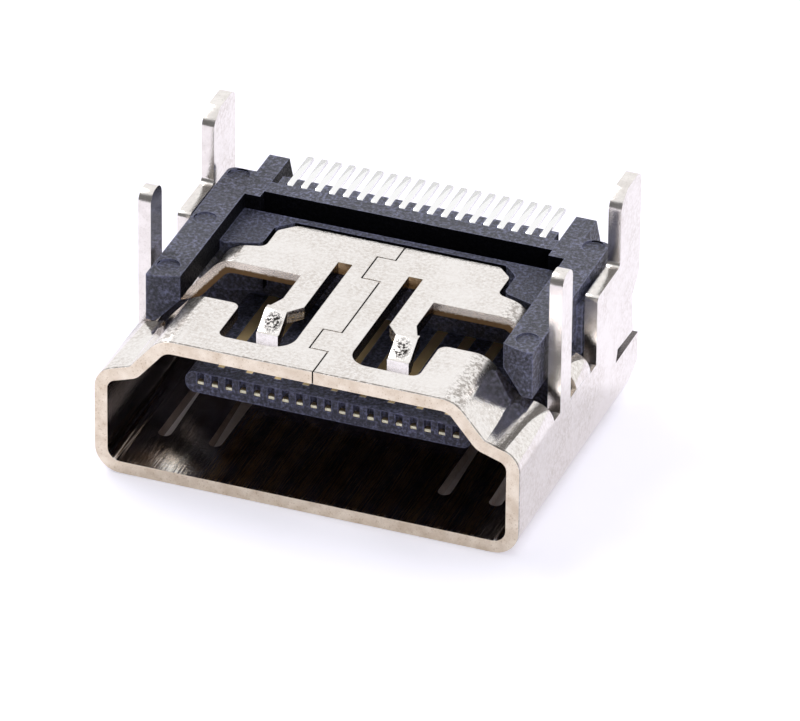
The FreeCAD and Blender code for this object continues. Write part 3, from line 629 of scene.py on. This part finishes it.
def make_contact_metal(grain, name, gold, roughest):
    """Gold on the blade, and tin from the comb to the end of the tail."""
    smoothest = roughest - 0.15
    tin_roughness = 0.09
    material, graph, shader, place = new_material(name, metallic=1.0)
    texture = add_grain(graph, grain, place, size=0.06, drift_size=0.6)
    along = graph.add("ShaderNodeSeparateXYZ", {"Vector": place}).outputs["Y"]
    tinned = graph.spread(along, TIN_START)
    graph.join(graph.mix(tinned, gold, TIN), shader.inputs["Base Color"])
    gilt_roughness = graph.spread(texture["Height"], over=(0.3, 0.7), to=(smoothest, roughest))
    rough = graph.blend(tinned, gilt_roughness, tin_roughness)
    graph.join(rough, shader.inputs["Roughness"])
    return material


# Pieces

def soft_edged_copy(name, title, materials, width, segments, pick):
    """A merged copy of a solid's skin with rounded edges, which stands for it, its finishes by face."""
    shape = bmesh.new()
    shape.from_mesh(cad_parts[name].data)
    bmesh.ops.remove_doubles(shape, verts=shape.verts, dist=MERGE_DISTANCE)
    flat = math.radians(FLAT_ANGLE)
    bmesh.ops.dissolve_limit(shape, angle_limit=flat, verts=shape.verts, edges=shape.edges)
    for face in shape.faces:
        face.smooth = True
        face.material_index = pick(face)
    mesh = bpy.data.meshes.new(title)
    shape.to_mesh(mesh)
    shape.free()
    for material in materials:
        mesh.materials.append(material)
    piece = bpy.data.objects.new(title, mesh)
    bpy.context.scene.collection.objects.link(piece)
    rounding = piece.modifiers.new("rounding", "BEVEL")
    rounding.width = width
    rounding.segments = segments
    rounding.limit_method = "ANGLE"
    rounding.angle_limit = math.radians(SHARP_ANGLE)
    rounding.use_clamp_overlap = True
    flatness = piece.modifiers.new("flatness", "WEIGHTED_NORMAL")
    flatness.mode = "FACE_AREA"
    flatness.weight = FLAT_FACE_WEIGHT
    flatness.keep_sharp = False
    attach(piece, "root")
    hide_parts(name)


def shell_finish(face):
    """The finish of one face of the shell, told from where it lies and which way it looks; the inward faces
    of the mouth and the slit faces carry painted shade, and the windows' rear ends partly.
    """
    centre = face.calc_center_median()
    normal = face.normal
    if abs(centre.x) > SIDE_WALL_INNER and centre.y > LIP_REAR:
        # Slit faces in the side walls get painted shade
        if abs(normal.z) > SQUARELY and SLIT_LOW < centre.z < SLIT_HIGH:
            return SLIT
        edge_on = abs(normal.x) < SLIGHTLY
        if edge_on and (abs(normal.y) > SLIGHTLY or centre.z > LEG_FOOT_HEIGHT):
            return SHEARED
    elif centre.y < LIP_REAR and normal.y < -MOSTLY:
        return LIP
    elif centre.z > WIDE_FACE_TOP and abs(normal.z) < SLIGHTLY:
        # Seam faces and window faces that look sideways or rearwards take the slit finish, painted shade
        if abs(centre.x) < SEAM_REACH:
            return PLATED if abs(normal.y) > MOSTLY else SLIT
        if normal.y > -MOSTLY:
            return SLIT
        if centre.y < LATCH_TIP_REAR:
            return SCUFFED
        # Window rear ends take the darker gold-brown cut face, partly painted shade
        return WINDOW if centre.y > STRAP_REAR else STRAP
    elif normal.y < -SLIGHTLY and normal.z > SLIGHTLY and centre.z > LEG_FOOT_HEIGHT:
        return SCUFFED
    # Inward faces of the mouth take the darker inner nickel, painted shade
    inward = normal.x * centre.x + normal.z * (centre.z - MOUTH_MIDDLE) < 0.0
    return INNER if inward and abs(normal.y) < SLIGHTLY and centre.z < MOUTH_TOP else PLATED


def housing_finish(face):
    """Painted shade where an arm looks inwards over the plate, and deeper painted shade where the block or
    comb looks forwards.
    """
    centre = face.calc_center_median()
    if centre.z < ARM_LOW or centre.y < ARM_NOSE_REAR:
        return MOULDED
    # Deeper painted shade on the forward faces of the block and comb
    if face.normal.y < -SQUARELY and centre.y > BLOCK_FRONT:
        return MOULDED_DEEPER_PAINTED_SHADE
    # Painted shade on the arms' inward faces
    inwards = abs(face.normal.x) > SQUARELY and face.normal.x * centre.x < 0.0
    return MOULDED_PAINTED_SHADE if inwards else MOULDED


def contact_finish(face):
    """Paler gold on the tips that look out of the mouth, a painted highlight."""
    tip = face.normal.y < -MOSTLY and face.calc_center_median().y < CONTACT_TIP_REAR
    return TIP_PAINTED_HIGHLIGHT if tip else GILT


place_camera()
light_room()
lay_floor()
add_lamp("soft_key", KEY_PLACE, KEY_SIZE, KEY_POWER, KEY_COLOUR)
add_lamp("soft_fill", FILL_PLACE, FILL_SIZE, FILL_POWER, FILL_COLOUR)

grain = make_fine_grain()
edge_nearness = make_nearness_to_edges()
sheet_depth = make_sheet_depth()
plate = [
    make_nickel(grain, edge_nearness, sheet_depth),
    make_inner_nickel(grain),
    make_sheared_edge(grain, "lip_edge", LIP_EDGE, LIP_EDGE_DARK, contrast=1.15, smoothest=0.16),
    make_sheared_edge(
        grain, "sheared_nickel", SHEARED_EDGE, SHEARED_EDGE_DARK, contrast=0.45, smoothest=0.14,
    ),
    # Gold-brown cut face of the windows, darkened in part as painted shade
    make_sheared_edge(grain, "window_edge", WINDOW_EDGE, WINDOW_EDGE_DARK, contrast=1.1, smoothest=0.32),
    # Painted shade on the slits' cut faces
    make_sheared_edge(grain, "slit_face_painted_shade", SLIT_FACE_PAINTED_SHADE, SLIT_FACE_DARKER_PAINTED_SHADE, contrast=1.0, smoothest=0.20),
    make_scuffed_nickel(grain),
    make_strap_edge(grain, sheet_depth),
]
slate = [
    make_moulding(grain, edge_nearness, "slate_moulding", SLATE, SLATE_PALE, sheen=0.9),
    # Painted shade copies of the slate, with less sheen
    make_moulding(grain, edge_nearness, "slate_painted_shade", SLATE_PAINTED_SHADE, SLATE_PAINTED_SHADE_PALE, sheen=0.12),
    make_moulding(grain, edge_nearness, "slate_deeper_painted_shade", SLATE_DEEPER_PAINTED_SHADE, SLATE_DEEPER_PAINTED_SHADE_PALE, sheen=0.05),
]
contact_metal = [
    make_contact_metal(grain, "gilt_and_tin", GOLD, roughest=0.55),
    # Paler gold for the tips, a painted highlight
    make_contact_metal(grain, "tip_gold_painted_highlight", GOLD_PAINTED_HIGHLIGHT, roughest=0.90),
]

soft_edged_copy(
    "shell", "shell_sheet", plate, SHELL_ROUNDING, ROUND_STEPS, shell_finish,
)
soft_edged_copy(
    "housing", "housing_body", slate, HOUSING_ROUNDING, ROUND_STEPS, housing_finish,
)
soft_edged_copy(
    "tail_comb", "tail_comb_body", slate, COMB_ROUNDING, ROUND_STEPS, housing_finish,
)
for name in CONTACTS:
    strip = name + "_strip"
    soft_edged_copy(
        name, strip, contact_metal, CONTACT_ROUNDING, CHAMFER_STEPS, contact_finish,
    )

bpy.context.scene.view_settings.view_transform = "Standard"
